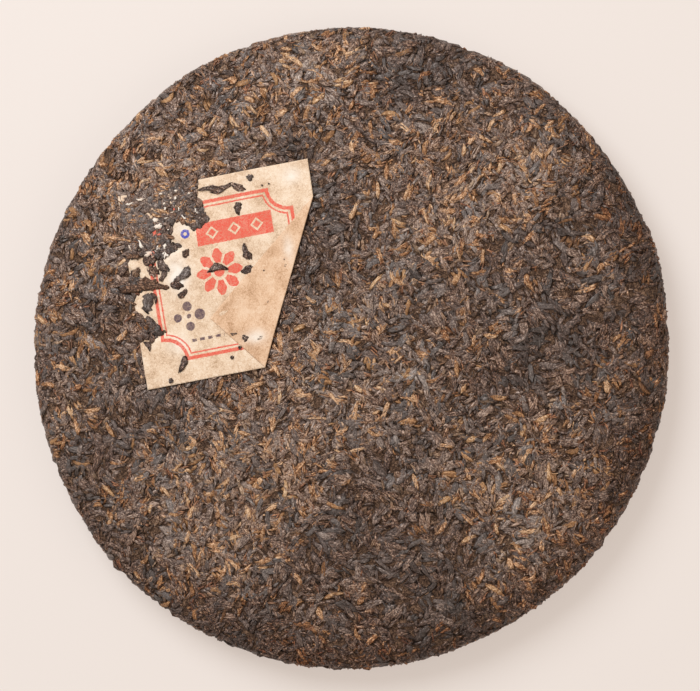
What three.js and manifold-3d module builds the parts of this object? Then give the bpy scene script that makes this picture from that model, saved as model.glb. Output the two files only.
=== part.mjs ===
// A pressed cake of ripe pu erh tea, lying on its back with its paper ticket up, in millimetres.
// The cake is one body of steamed leaf, pressed in a cloth bag: a low dome in front, a rounded rim,
// and a flat back with the hollow that the bag's knot leaves. Its leaves stand out as crags over the
// whole surface, and the largest ones lie on it. The ticket is a thin square of paper with one corner
// folded over, pressed into the front, with leaf lying over its left side.
import * as THREE from "three";
import { mergeVertices } from "three/addons/utils/BufferGeometryUtils.js";
import Module from "manifold-3d";

const wasm = await Module();
wasm.setup();

// The cake's section, from its centre line out to the rim
const CAKE_RADIUS = 100;
const CENTRE_HEIGHT = 22;
const SHOULDER_RADIUS = 92;
const SHOULDER_HEIGHT = 14.8;
const SHOULDER_REACH = 6;
const EQUATOR_HEIGHT = 7.6;
const RIM_ROUNDNESS = 4.4;
const BACK_RADIUS = 90;
const BACK_REACH = 6;
const HOLLOW_RADIUS = 31;
const HOLLOW_DEPTH = 9;
const HOLLOW_LIP = 0.62 * HOLLOW_RADIUS;
const HOLLOW_FLOOR = 0.55 * HOLLOW_RADIUS;

// Crags of leaf: how far they stand out of the pressed surface, and how far their corners wander
const CRAG_HEIGHT = 0.5;
const RIM_CRAG_HEIGHT = 0.7;
const CRAG_WANDER = 1.3;
const BODY_DETAIL = 15;
const STANDING_RING = [52, 68];

// The largest leaves, fused to the cake's surface
const LEAF_COUNT = 182;
const LEAF_LENGTH = [6.5, 11];
const LEAF_WIDTH = [2, 3.4];
const LEAF_THICKNESS = 1.6;
const LEAF_BEND = 0.16;

// The ticket: a square of paper, turned on the cake, with its lower right corner folded over
const TICKET_SIDE = 61.5;
const TICKET_TURN = THREE.MathUtils.degToRad(9.8);
const TICKET_CENTRE = new THREE.Vector2(-35.9, 22.0);
const FOLD_DOWN_RIGHT_EDGE = 11.7;
const FOLD_ALONG_BOTTOM_EDGE = 37.9;
const TICKET_UNDERSIDE = -0.2;
const TICKET_TOP = 0.2;
const FLAP_TOP = 0.5;
const TICKET_GAP = 0.3;
const PAPER_WAVE = 0.12;
const PAPER_GRID = 5.5;

// Leaf that lies on the ticket: single bits on the open paper, each [x, y, length, width, turn in degrees]
const BITS_ON_PAPER = [
  [-36.1, 48.8, 6.2, 1.5, 23],
  [-31.0, 48.8, 5.4, 1.5, -27],
  [-41.8, 48.9, 6.5, 1.2, 9],
  [-31.8, 42.1, 4.6, 1.8, 81],
  [-28.9, 52.0, 2.2, 1.7, 39],
  [-29.3, 28.7, 5.6, 1.7, -69],
  [-29.8, 23.6, 3.6, 1.9, 29],
  [-38.8, 23.2, 6.5, 1.5, 10],
  [-49.8, 21.2, 6.5, 2.2, 51],
  [-51.4, 18.7, 4.8, 2.6, -13],
  [-49.8, 15.0, 4.2, 2.0, 43],
  [-58.5, 19.0, 10.2, 2.6, -7],
  [-48.7, 28.7, 2.8, 1.9, 70],
  [-50.1, -6.0, 5.5, 1.4, 65],
  [-29.9, 2.1, 2.6, 1.9, 9],
  [-34.4, 3.5, 3.0, 1.1, 17],
];

// The drifts of leaf over the ticket's left side, in the ticket's own frame: [left, right, bottom, top]
const DRIFTS = [
  { span: [-28.4, -13.2, 11.4, 28.4], pitch: 4.4 },
  { span: [-28.4, -20.5, -18.5, -9.5], pitch: 4.4 },
];
const DRIFT_LEAF = { length: [4.6, 6.4], width: [2.2, 3.2], thickness: 1.2 };

// A seeded draw, so that every build gives the same cake
function seededDraw(seed) {
  let state = seed;
  return (low, high) => {
    state = (Math.imul(state, 1664525) + 1013904223) >>> 0;
    return low + ((high - low) * state) / 2 ** 32;
  };
}

function toSolid(geometry) {
  const bare = geometry.clone();
  bare.deleteAttribute("normal");
  bare.deleteAttribute("uv");
  const merged = mergeVertices(bare, 1e-4);
  return new wasm.Manifold(
    new wasm.Mesh({
      numProp: 3,
      vertProperties: new Float32Array(merged.attributes.position.array),
      triVerts: new Uint32Array(merged.index.array),
    }),
  );
}

function toGeometry(solid) {
  const { vertProperties, triVerts } = solid.getMesh();
  const geometry = new THREE.BufferGeometry();
  geometry.setAttribute("position", new THREE.BufferAttribute(vertProperties, 3));
  geometry.setIndex(new THREE.BufferAttribute(triVerts, 1));
  return geometry;
}

function movePoints(geometry, move) {
  const points = geometry.attributes.position;
  const point = new THREE.Vector3();
  for (let i = 0; i < points.count; i += 1) {
    point.fromBufferAttribute(points, i);
    const moved = move(point);
    points.setXYZ(i, moved.x, moved.y, moved.z);
  }
  return geometry;
}

// The section as a path of radius and height, from the middle of the front round to the middle of the back
function cakeSection() {
  const slope = (2 * (CENTRE_HEIGHT - SHOULDER_HEIGHT)) / SHOULDER_RADIUS;
  const section = new THREE.Path();
  section.moveTo(0, CENTRE_HEIGHT);
  section.quadraticCurveTo(SHOULDER_RADIUS / 2, CENTRE_HEIGHT, SHOULDER_RADIUS, SHOULDER_HEIGHT);
  section.bezierCurveTo(
    SHOULDER_RADIUS + SHOULDER_REACH,
    SHOULDER_HEIGHT - SHOULDER_REACH * slope,
    CAKE_RADIUS,
    EQUATOR_HEIGHT + RIM_ROUNDNESS,
    CAKE_RADIUS,
    EQUATOR_HEIGHT,
  );
  section.bezierCurveTo(
    CAKE_RADIUS,
    EQUATOR_HEIGHT - RIM_ROUNDNESS,
    BACK_RADIUS + BACK_REACH,
    0,
    BACK_RADIUS,
    0,
  );
  section.lineTo(HOLLOW_RADIUS, 0);
  section.bezierCurveTo(HOLLOW_LIP, 0, HOLLOW_FLOOR, HOLLOW_DEPTH, 0, HOLLOW_DEPTH);
  return section;
}

// Evenly spaced points of the section, with the area that it has swept round the centre line so far
function sweepSection(section, steps) {
  const points = section.getSpacedPoints(steps);
  const swept = [0];
  for (let i = 1; i <= steps; i += 1) {
    const meanRadius = (points[i].x + points[i - 1].x) / 2;
    swept.push(swept[i - 1] + 2 * Math.PI * meanRadius * points[i].distanceTo(points[i - 1]));
  }
  return { points, swept, length: section.getLength(), steps };
}

const SECTION_STEPS = 600;
const SWEEP = sweepSection(cakeSection(), SECTION_STEPS);

// The distance along the section at which a share of the whole surface has been swept
function distanceAtShare(share) {
  const wanted = share * SWEEP.swept[SWEEP.steps];
  let low = 0;
  let high = SWEEP.steps;
  while (high - low > 1) {
    const middle = (low + high) >> 1;
    if (SWEEP.swept[middle] < wanted) low = middle;
    else high = middle;
  }
  const part = (wanted - SWEEP.swept[low]) / (SWEEP.swept[high] - SWEEP.swept[low]);
  return ((low + part) * SWEEP.length) / SWEEP.steps;
}

// The radius and height at a distance along the section, and the direction that faces out there
function sectionAt(distance) {
  const place = THREE.MathUtils.clamp((distance * SWEEP.steps) / SWEEP.length, 0, SWEEP.steps - 1e-6);
  const index = Math.floor(place);
  const from = SWEEP.points[index];
  const to = SWEEP.points[index + 1];
  const at = from.clone().lerp(to, place - index);
  const along = to.clone().sub(from).normalize();
  return { radius: at.x, height: at.y, out: new THREE.Vector2(-along.y, along.x) };
}

// A point of the cake's surface: distance along the section, angle round it, and lift off the surface
function onCake(distance, angle, lift) {
  const { radius, height, out } = sectionAt(distance);
  const reach = radius + lift * out.x;
  return new THREE.Vector3(
    reach * Math.cos(angle),
    reach * Math.sin(angle),
    Math.max(0, height + lift * out.y),
  );
}

function domeHeight(x, y) {
  const share = Math.hypot(x, y) / SHOULDER_RADIUS;
  return CENTRE_HEIGHT - (CENTRE_HEIGHT - SHOULDER_HEIGHT) * share * share;
}

function onStandingRing(radius, out, margin) {
  return out.y < 0 && radius > STANDING_RING[0] - margin && radius < STANDING_RING[1] + margin;
}

// The pressed body: a ball of even triangles, laid over the section so that each keeps its share of the
// surface, with its corners raised, sunk and shifted as the leaves there are. The back's crags only sink,
// and the ring that the cake stands on has none.
function pressedBody() {
  const draw = seededDraw(357);
  const ball = new THREE.IcosahedronGeometry(1, BODY_DETAIL);
  ball.deleteAttribute("normal");
  ball.deleteAttribute("uv");
  return movePoints(mergeVertices(ball, 1e-4), (point) => {
    const distance = distanceAtShare((1 - THREE.MathUtils.clamp(point.z, -1, 1)) / 2);
    const { radius, out } = sectionAt(distance);
    const angle = Math.atan2(point.y, point.x);
    const wander = draw(-CRAG_WANDER, CRAG_WANDER);
    const turn = draw(-CRAG_WANDER, CRAG_WANDER) / Math.max(radius, 4 * CRAG_WANDER);
    const crag = THREE.MathUtils.lerp(CRAG_HEIGHT, RIM_CRAG_HEIGHT, Math.max(0, out.x));
    let lift = draw(-crag, crag);
    if (out.y < 0) lift = Math.min(lift, 0);
    if (onStandingRing(radius, out, 0)) lift = 0;
    return onCake(Math.max(0, distance + wander * Math.min(1, radius / 8)), angle + turn, lift);
  });
}

// One leaf: a slim ridged pod, pointed at both ends and curled along its length, lying along x
function leaf(length, width, thickness, bend, underside) {
  const pod = new THREE.SphereGeometry(0.5, 4, 3).rotateZ(Math.PI / 2);
  return movePoints(pod, (point) => {
    const curl = bend * length * (0.25 - point.x * point.x);
    const z = point.z * thickness;
    return new THREE.Vector3(point.x * length, point.y * width + curl, z < 0 ? z * underside : z);
  });
}

// The largest leaves, spread evenly along a golden-angle spiral. The hollow and the ring that the cake
// stands on are pressed smooth, so none lies there.
function largestLeaves() {
  const draw = seededDraw(1973);
  const goldenAngle = Math.PI * (3 - Math.sqrt(5));
  const leaves = [];
  for (let i = 0; i < LEAF_COUNT; i += 1) {
    const distance = distanceAtShare((i + 0.5) / LEAF_COUNT);
    const angle = i * goldenAngle + draw(-0.12, 0.12);
    const turn = draw(0, Math.PI);
    const { radius, out } = sectionAt(distance);
    const one = leaf(
      draw(...LEAF_LENGTH),
      draw(...LEAF_WIDTH),
      LEAF_THICKNESS,
      draw(-LEAF_BEND, LEAF_BEND),
      1,
    );
    const inHollow = out.y < 0 && radius < HOLLOW_RADIUS + LEAF_LENGTH[1];
    if (inHollow || onStandingRing(radius, out, LEAF_LENGTH[1] / 2)) continue;
    movePoints(one, (point) => {
      const along = point.x * Math.cos(turn) - point.y * Math.sin(turn);
      const across = point.x * Math.sin(turn) + point.y * Math.cos(turn);
      return onCake(distance + along, angle + across / Math.max(radius, 8), point.z);
    });
    leaves.push(toSolid(one));
  }
  return leaves;
}

function ticketToCake(u, v) {
  return new THREE.Vector2(u, v).rotateAround(new THREE.Vector2(0, 0), TICKET_TURN).add(TICKET_CENTRE);
}

// The ticket's corners in its own frame, with the fold's two ends in place of the folded corner
const HALF = TICKET_SIDE / 2;
const FOLD_TOP = new THREE.Vector2(HALF, HALF - FOLD_DOWN_RIGHT_EDGE);
const FOLD_BOTTOM = new THREE.Vector2(FOLD_ALONG_BOTTOM_EDGE - HALF, -HALF);

// The folded corner, mirrored across the fold onto the paper
function foldedCorner() {
  const fold = FOLD_BOTTOM.clone().sub(FOLD_TOP).normalize();
  const corner = new THREE.Vector2(HALF, -HALF).sub(FOLD_TOP);
  return fold.multiplyScalar(2 * corner.dot(fold)).sub(corner).add(FOLD_TOP);
}

const PAPER_OUTLINE = [
  new THREE.Vector2(-HALF, HALF),
  new THREE.Vector2(-HALF, -HALF),
  FOLD_BOTTOM,
  FOLD_TOP,
  new THREE.Vector2(HALF, HALF),
];
const FLAP_OUTLINE = [FOLD_TOP, foldedCorner(), FOLD_BOTTOM];

// An upright prism over an outline of the ticket's frame, grown by a margin from the outline's middle
function prismOver(outline, margin) {
  const middle = outline.reduce((sum, p) => sum.add(p), new THREE.Vector2()).divideScalar(outline.length);
  const grown = outline.map((p) => {
    const from = p.clone().sub(middle);
    const reach = margin * Math.SQRT2;
    return ticketToCake(...from.setLength(from.length() + reach).add(middle).toArray());
  });
  const height = 2 * CENTRE_HEIGHT;
  return toSolid(new THREE.ExtrudeGeometry(new THREE.Shape(grown), { depth: height, bevelEnabled: false }));
}

function paperWave(x, y) {
  return PAPER_WAVE * Math.sin(x / 5.5 + y / 9) * Math.cos(y / 6.5 - x / 14);
}

// A slab that follows the dome and the paper's waves, between two lifts off the dome. Both faces have
// the same grid, so they split into triangles alike.
function drapedSlab(bottom, top, wavy) {
  const side = TICKET_SIDE * 1.5;
  const cells = Math.round(side / PAPER_GRID);
  const slab = new THREE.BoxGeometry(side, side, 1, cells, cells, 1);
  return toSolid(
    movePoints(slab, (point) => {
      const x = point.x + TICKET_CENTRE.x;
      const y = point.y + TICKET_CENTRE.y;
      const wave = wavy ? paperWave(x, y) : 0;
      const lift = point.z > 0 ? top : bottom;
      return new THREE.Vector3(x, y, domeHeight(x, y) + wave + lift);
    }),
  );
}

// A leaf that lies on the paper, with a flat underside that stays within the paper's thickness
function leafOnPaper([x, y, length, width, turnDegrees], bend) {
  const turn = THREE.MathUtils.degToRad(turnDegrees);
  const flattened = 0.1;
  const one = leaf(length, width, DRIFT_LEAF.thickness, bend, flattened);
  return toSolid(
    movePoints(one, (point) => {
      const px = x + point.x * Math.cos(turn) - point.y * Math.sin(turn);
      const py = y + point.x * Math.sin(turn) + point.y * Math.cos(turn);
      return new THREE.Vector3(px, py, domeHeight(px, py) + paperWave(px, py) + TICKET_TOP + point.z);
    }),
  );
}

// The drifts of leaf over the ticket's left side, row by row, each leaf a little out of line
function driftLeaves() {
  const draw = seededDraw(88);
  const leaves = [];
  for (const { span, pitch } of DRIFTS) {
    const [left, right, bottom, top] = span;
    for (let v = bottom; v <= top; v += pitch) {
      for (let u = left; u <= right; u += pitch) {
        const spot = ticketToCake(u + draw(-0.2, 0.9), v + draw(-0.6, 0.6));
        const size = [draw(...DRIFT_LEAF.length), draw(...DRIFT_LEAF.width)];
        const edge = Math.min(u + HALF, HALF - v, v + HALF) - 0.3;
        size[0] = Math.min(size[0], Math.max(2 * edge, size[1]));
        leaves.push(leafOnPaper([spot.x, spot.y, ...size, draw(0, 180)], draw(-LEAF_BEND, LEAF_BEND)));
      }
    }
  }
  return leaves;
}

function largestPart(solid) {
  return solid.decompose().reduce((best, one) => (one.volume() > best.volume() ? one : best));
}

function buildCake() {
  const body = largestLeaves().reduce((sum, one) => sum.add(one), toSolid(pressedBody()));
  const bed = drapedSlab(TICKET_UNDERSIDE - TICKET_GAP, CENTRE_HEIGHT, false);
  return largestPart(body.subtract(bed.intersect(prismOver(PAPER_OUTLINE, TICKET_GAP))));
}

function buildTicket() {
  const paper = drapedSlab(TICKET_UNDERSIDE, TICKET_TOP, true).intersect(prismOver(PAPER_OUTLINE, 0));
  const flapInset = -0.4;
  const flap = drapedSlab(0, FLAP_TOP, true).intersect(prismOver(FLAP_OUTLINE, flapInset));
  const bits = BITS_ON_PAPER.map((bit, i) => leafOnPaper(bit, i % 3 === 0 ? LEAF_BEND : 0));
  const leaves = [...bits, ...driftLeaves()];
  const inside = prismOver(PAPER_OUTLINE, -0.1);
  return largestPart(leaves.reduce((sum, one) => sum.add(one.intersect(inside)), paper.add(flap)));
}

const TEA_LEAF = new THREE.MeshStandardMaterial({
  name: "tea_leaf",
  color: 0x4a392e,
  roughness: 0.7,
  metalness: 0,
  flatShading: true,
});
const TICKET_PAPER = new THREE.MeshStandardMaterial({
  name: "ticket_paper",
  color: 0xe8cda8,
  roughness: 0.8,
  metalness: 0,
  flatShading: true,
});

const cake = new THREE.Mesh(toGeometry(buildCake()), TEA_LEAF);
cake.name = "tea_cake";

const ticket = new THREE.Mesh(toGeometry(buildTicket()), TICKET_PAPER);
ticket.name = "paper_ticket";

// The origin is the middle of the box that the cake stands in, on the surface under it
const group = new THREE.Group();
group.add(cake, ticket);
const box = new THREE.Box3().setFromObject(cake);
const middle = box.getCenter(new THREE.Vector3());
group.position.set(-middle.x, -middle.y, -box.min.z);

export default group;
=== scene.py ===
import math
import bmesh
import bpy
import numpy as np
from mathutils import Matrix, Vector


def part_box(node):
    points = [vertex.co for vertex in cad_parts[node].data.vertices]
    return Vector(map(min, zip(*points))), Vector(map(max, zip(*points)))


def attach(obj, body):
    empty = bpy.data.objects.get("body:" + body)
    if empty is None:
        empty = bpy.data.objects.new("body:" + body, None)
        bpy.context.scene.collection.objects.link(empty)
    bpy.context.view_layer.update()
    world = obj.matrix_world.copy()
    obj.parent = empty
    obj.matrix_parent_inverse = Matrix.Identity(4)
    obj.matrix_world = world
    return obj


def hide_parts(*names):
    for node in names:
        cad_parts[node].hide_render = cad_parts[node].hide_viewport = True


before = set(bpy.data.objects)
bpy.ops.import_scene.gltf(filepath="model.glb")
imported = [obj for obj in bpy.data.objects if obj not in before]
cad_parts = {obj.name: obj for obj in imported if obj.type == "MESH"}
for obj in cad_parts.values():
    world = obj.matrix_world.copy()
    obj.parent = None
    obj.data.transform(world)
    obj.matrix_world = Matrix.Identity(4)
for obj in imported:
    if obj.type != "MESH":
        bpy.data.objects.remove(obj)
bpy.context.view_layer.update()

# The pressed core
# Steamed leaf is packed into a cloth bag and pressed under a stone into one hard body: a low dome in
# front, a rounded rim, and a flat back with the hollow that the bag's knot leaves. The core is the
# dark, closely pressed leaf that shows at the bottom of the gaps between the leaves on top; its dark colour
# is partly painted shade for those gaps, and its fine creases are painted darker as painted shade.
MM = 0.001
cake_low, cake_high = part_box("tea_cake")
cake_middle = (cake_low + cake_high) / 2
cake_radius = min(cake_high.x - cake_low.x, cake_high.y - cake_low.y) / 2 - 0.6 * MM
centre_height = 21.75 * MM
shoulder_radius = 92.0 * MM
shoulder_height = 14.8 * MM
equator_height = 7.6 * MM
back_radius = 90.0 * MM
hollow_radius = 31.0 * MM
hollow_depth = 9.0 * MM
front_steps = 300
other_steps = 100


def curve_points(ends, steps):
    """Points along a Bezier curve of any degree, without its last one."""
    points = np.array(ends, float)[:, None, :]
    share = np.linspace(0, 1, steps, endpoint=False)[None, :, None]
    while len(points) > 1:
        points = points[:-1] * (1 - share) + points[1:] * share
    return points[0]


def cake_section():
    """The section from the middle of the front round to the middle of the back: distance along it,
    radius, height, and the direction that faces out."""
    slope = 2 * (centre_height - shoulder_height) / shoulder_radius
    reach = 6.0 * MM
    round_up = 4.4 * MM
    points = np.concatenate([
        curve_points([(0, centre_height), (shoulder_radius / 2, centre_height),
                      (shoulder_radius, shoulder_height)], front_steps),
        curve_points([(shoulder_radius, shoulder_height),
                      (shoulder_radius + reach, shoulder_height - reach * slope),
                      (cake_radius, equator_height + round_up), (cake_radius, equator_height)], other_steps),
        curve_points([(cake_radius, equator_height), (cake_radius, equator_height - round_up),
                      (back_radius + reach, 0), (back_radius, 0)], other_steps),
        curve_points([(back_radius, 0), (hollow_radius, 0)], other_steps),
        curve_points([(hollow_radius, 0), (0.62 * hollow_radius, 0),
                      (0.55 * hollow_radius, hollow_depth), (0, hollow_depth)], other_steps),
        [(0, hollow_depth)],
    ])
    step = np.diff(points, axis=0)
    length = np.concatenate([[0], np.cumsum(np.hypot(step[:, 0], step[:, 1]))])
    along = np.gradient(points, length, axis=0)
    along /= np.linalg.norm(along, axis=1)[:, None]
    return length, points[:, 0], points[:, 1], -along[:, 1], along[:, 0]


section = cake_section()
section_length = section[0][-1]
rim_distance = section[0][np.argmax(section[1])]
surface_swept = np.concatenate([[0], np.cumsum(np.diff(section[0]) * (section[1][1:] + section[1][:-1]))])


def smooth_noise(x, y, z, seed):
    """A sum of slow waves in random directions, about -1 to 1: the cake's unevenness."""
    draw = np.random.default_rng(seed)
    total = 0
    for _ in range(6):
        a, b, c = draw.normal(size=3)
        total = total + np.sin(a * x + b * y + c * z + draw.uniform(0, 2 * math.pi))
    return total / 3


def on_cake(distance, angle, lift):
    """A point at a distance along the section and an angle round it, lifted off the surface."""
    swell_length = 9 * MM
    swell_height = 0.3 * MM
    swell_at_back = 0.2
    length, radius, height, out_r, out_z = section
    r = np.interp(distance, length, radius)
    z = np.interp(distance, length, height)
    n_r = np.interp(distance, length, out_r)
    n_z = np.interp(distance, length, out_z)
    x, y = r * np.cos(angle), r * np.sin(angle)
    swell = smooth_noise(x / swell_length, y / swell_length, z / swell_length, 5)
    lift = lift + swell * swell_height * np.where(n_z < -0.8, swell_at_back, 1)
    reach = r + lift * n_r
    lowest = cake_low.z + 0.02 * MM
    return np.stack([
        reach * np.cos(angle) + cake_middle.x,
        reach * np.sin(angle) + cake_middle.y,
        np.maximum(z + lift * n_z, lowest),
    ], -1)


def put_in_scene(name, data):
    placed = bpy.data.objects.new(name, data)
    bpy.context.scene.collection.objects.link(placed)
    return placed


def cake_core():
    """A fine ball whose points are moved onto the cake, a little below the leaves' tops."""
    depth = 0.42 * MM
    ball = bmesh.new()
    bmesh.ops.create_icosphere(ball, subdivisions=6, radius=1)
    mesh = bpy.data.meshes.new("tea_core")
    ball.to_mesh(mesh)
    ball.free()
    points = np.zeros(len(mesh.vertices) * 3)
    mesh.vertices.foreach_get("co", points)
    points = points.reshape(-1, 3)
    share = (1 - np.clip(points[:, 2], -1, 1)) / 2
    distance = np.interp(share * surface_swept[-1], surface_swept, section[0])
    draw = np.random.default_rng(2)
    lift = draw.uniform(-0.18, 0.18, len(points)) * MM - depth
    placed = on_cake(distance, np.arctan2(points[:, 1], points[:, 0]), lift)
    mesh.vertices.foreach_set("co", placed.ravel())
    mesh.shade_smooth()
    mesh.update()
    return put_in_scene("tea_core", mesh)


def new_material(name, roughness, specular):
    material = bpy.data.materials.new(name)
    material.use_nodes = True
    nodes = material.node_tree.nodes
    shader = nodes["Principled BSDF"]
    shader.inputs["Roughness"].default_value = roughness
    shader.inputs["Specular IOR Level"].default_value = specular
    return material, nodes, material.node_tree.links, shader


def colour_ramp(nodes, stops):
    ramp = nodes.new("ShaderNodeValToRGB")
    while len(ramp.color_ramp.elements) < len(stops):
        ramp.color_ramp.elements.new(0.5)
    for element, (place, colour) in zip(ramp.color_ramp.elements, stops):
        element.position = place
        element.color = (*colour, 1)
    return ramp


def reckon(nodes, links, operation, *values):
    """A math node on values that are numbers or other nodes' outputs."""
    node = nodes.new("ShaderNodeMath")
    node.operation = operation
    for socket, value in zip(node.inputs, values):
        if isinstance(value, (int, float)):
            socket.default_value = value
        else:
            links.new(value, socket)
    return node.outputs["Value"]


def noise(nodes, links, vector, scale, detail=2.0, distortion=0.0):
    texture = nodes.new("ShaderNodeTexNoise")
    texture.inputs["Scale"].default_value = scale
    texture.inputs["Detail"].default_value = detail
    texture.inputs["Distortion"].default_value = distortion
    links.new(vector, texture.inputs["Vector"])
    return texture.outputs["Fac"]


def sharp_creases(nodes, links, fold):
    """Narrow valleys, 0 at the bottom, along the lines where a noise passes its middle."""
    crease = reckon(nodes, links, "ABSOLUTE", reckon(nodes, links, "SUBTRACT", fold, 0.5))
    return reckon(nodes, links, "POWER", reckon(nodes, links, "MINIMUM", crease, 0.12), 0.5)


def emboss(nodes, links, shader, relief, strength, depth):
    bump = nodes.new("ShaderNodeBump")
    bump.inputs["Strength"].default_value = strength
    bump.inputs["Distance"].default_value = depth
    links.new(relief, bump.inputs["Height"])
    links.new(bump.outputs["Normal"], shader.inputs["Normal"])


def core_material():
    material, nodes, links, shader = new_material("pressed leaf with painted gap shade", 0.7, 0.3)
    place = nodes.new("ShaderNodeTexCoord").outputs["Object"]
    crumbs = noise(nodes, links, place, 500, 4)
    crease = sharp_creases(nodes, links, noise(nodes, links, place, 1100, 3, 1.5))
    # Painted shade: the fine creases darken the colour as well as making bumps.
    mixed = reckon(nodes, links, "MULTIPLY_ADD", crease, 2.6, crumbs)
    mixed = reckon(nodes, links, "SUBTRACT", mixed, 0.7)
    ramp = colour_ramp(nodes, [(0.0, (0.022, 0.008, 0.004)), (0.35, (0.080, 0.043, 0.026)),
                               (0.8, (0.24, 0.145, 0.092))])
    links.new(mixed, ramp.inputs["Fac"])
    links.new(ramp.outputs["Color"], shader.inputs["Base Color"])
    emboss(nodes, links, shader, crease, 1.0, 0.5 * MM)
    return material


core = cake_core()
core.data.materials.append(core_material())
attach(core, "root")
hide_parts("tea_cake")

# The paper ticket
# A square of thin cream paper with a plain print, laid on the leaf before pressing. Its lower right
# corner folded over, so the paper's bare back shows there, and leaf has run over its left side.
ticket_side = 61.5 * MM
ticket_turn = math.radians(9.8)
ticket_middle = np.array([-35.9, 22.0]) * MM
fold_down_right_edge = 11.7 * MM
fold_along_bottom_edge = 37.9 * MM
half = ticket_side / 2
fold_top = np.array([half, half - fold_down_right_edge])
fold_bottom = np.array([fold_along_bottom_edge - half, -half])
fold_way = (fold_bottom - fold_top) / np.linalg.norm(fold_bottom - fold_top)
fold_out = np.array([-fold_way[1], fold_way[0]])
sheet_outline = np.array([(-half, half), (-half, -half), fold_bottom, fold_top, (half, half)])
# The edge of the paper that leaf hasn't run over, in millimetres across and up from the ticket's middle.
bare_outline = MM * np.array([
    (36, 36), (-3.6, 36), (-3.6, 30.2), (-5.6, 25.4), (-3.7, 23.1), (-3.8, 20.0), (-2.5, 18.3), (-5.3, 15.5),
    (-8.1, 15.1), (-9.5, 17.0), (-13.7, 19.5), (-15.0, 15.8), (-14.5, 14.1), (-12.8, 12.5), (-12.5, 10.2),
    (-14.8, 10.1), (-16.5, 9.4), (-17.4, 8.0), (-20.7, 8.3), (-23.2, 9.2), (-25.2, 10.5), (-27.3, 10.0),
    (-29.6, 10.4), (-30.0, 7.6), (-29.5, 6.3), (-27.6, 6.2), (-27.9, 2.1), (-26.9, 0.0), (-29.7, -1.6),
    (-29.6, -4.5), (-29.7, -7.0), (-26.8, -7.6), (-24.2, -11.3), (-21.2, -14.2), (-24.2, -15.6),
    (-36, -16.7), (-36, -36), (36, -36)])


def from_ticket(u, v):
    """A point of the ticket's own frame on the cake, seen from the front."""
    x = u * math.cos(ticket_turn) - v * math.sin(ticket_turn) + ticket_middle[0]
    y = u * math.sin(ticket_turn) + v * math.cos(ticket_turn) + ticket_middle[1]
    return x, y


def to_ticket(x, y):
    x, y = x - ticket_middle[0], y - ticket_middle[1]
    return (x * math.cos(ticket_turn) + y * math.sin(ticket_turn),
            -x * math.sin(ticket_turn) + y * math.cos(ticket_turn))


def inside_by(outline, u, v):
    """How far points are inside an outline, and below 0 for points outside it."""
    nearest = np.full(np.shape(u), np.inf)
    crossings = np.zeros(np.shape(u), int)
    for (au, av), (bu, bv) in zip(outline, np.roll(outline, -1, axis=0)):
        du, dv = bu - au, bv - av
        along = np.clip(((u - au) * du + (v - av) * dv) / (du * du + dv * dv), 0, 1)
        nearest = np.minimum(nearest, np.hypot(u - au - along * du, v - av - along * dv))
        spans = (av > v) != (bv > v)
        crossings += spans & (u < au + (v - av) * du / (dv if dv else 1e-12))
    return np.where(crossings % 2 == 1, nearest, -nearest)


def smooth_step(low, high, value):
    t = np.clip((value - low) / (high - low), 0, 1)
    return t * t * (3 - 2 * t)


def bare_by(u, v):
    """How far points are inside the paper's bare part, whose edge against the leaf is ragged."""
    ragged = smooth_noise(u / (0.9 * MM), v / (0.9 * MM), 0 * u, 31) * 0.4 * MM
    return inside_by(bare_outline, u, v) + ragged


def flat_sheet():
    """The sheet before folding: a fine grid along the fold, cut to the square. Returns its points and
    triangles in the ticket's frame, and the edges of its rim."""
    cell = 0.66 * MM
    cell_in_fold = 0.17 * MM
    fold_end = 0.51 * MM
    reach = 72 * MM
    steps = int(reach / cell)
    across = [k * cell for k in range(-steps, 0)] + [0] + [cell_in_fold * k for k in (1, 2, 3)]
    across += [fold_end + k * cell for k in range(1, steps)]
    down = [k * cell for k in range(-steps // 3, steps + 8)]
    sheet = bmesh.new()
    rows = [[sheet.verts.new((*(fold_top + fold_way * p + fold_out * q), 0)) for q in across] for p in down]
    for low, high in zip(rows, rows[1:]):
        for k in range(len(across) - 1):
            sheet.faces.new((low[k], high[k], high[k + 1], low[k + 1]))
    for place, way in (((half, 0, 0), (1, 0, 0)), ((-half, 0, 0), (-1, 0, 0)),
                       ((0, half, 0), (0, 1, 0)), ((0, -half, 0), (0, -1, 0))):
        everything = list(sheet.verts) + list(sheet.edges) + list(sheet.faces)
        bmesh.ops.bisect_plane(sheet, geom=everything, dist=1e-7, plane_co=place, plane_no=way,
                               clear_outer=True)
    bmesh.ops.triangulate(sheet, faces=list(sheet.faces))
    sheet.verts.index_update()
    points = np.array([v.co[:2] for v in sheet.verts])
    faces = np.array([[v.index for v in f.verts] for f in sheet.faces])
    rim = [(e.verts[0].index, e.verts[1].index) for e in sheet.edges if e.is_boundary]
    sheet.free()
    return points, faces, rim


def creases(u, v):
    """Fine sharp creases and soft waves of paper that was pressed damp."""
    draw = np.random.default_rng(61)
    wave_length = 3.4 * MM
    wave_height = 0.11 * MM
    height = smooth_noise(u / wave_length, v / wave_length, 0 * u, 62) * wave_height
    for _ in range(34):
        way = draw.uniform(0, math.pi)
        offset = draw.uniform(-half, half)
        middle = draw.uniform(-half, half)
        across = u * math.cos(way) + v * math.sin(way) - offset
        along = -u * math.sin(way) + v * math.cos(way) - middle
        across = across + 0.5 * MM * np.sin(along / (2.3 * MM) + offset * 900)
        fade = np.exp(-(along / (9 * MM)) ** 2)
        height = height + draw.uniform(-0.16, 0.18) * MM * fade * np.exp(-np.abs(across) / (0.45 * MM))
    return height


def down_front(radius):
    """The distance along the section at which the front has a radius."""
    return np.interp(radius, section[1][:front_steps], section[0][:front_steps])


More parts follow.
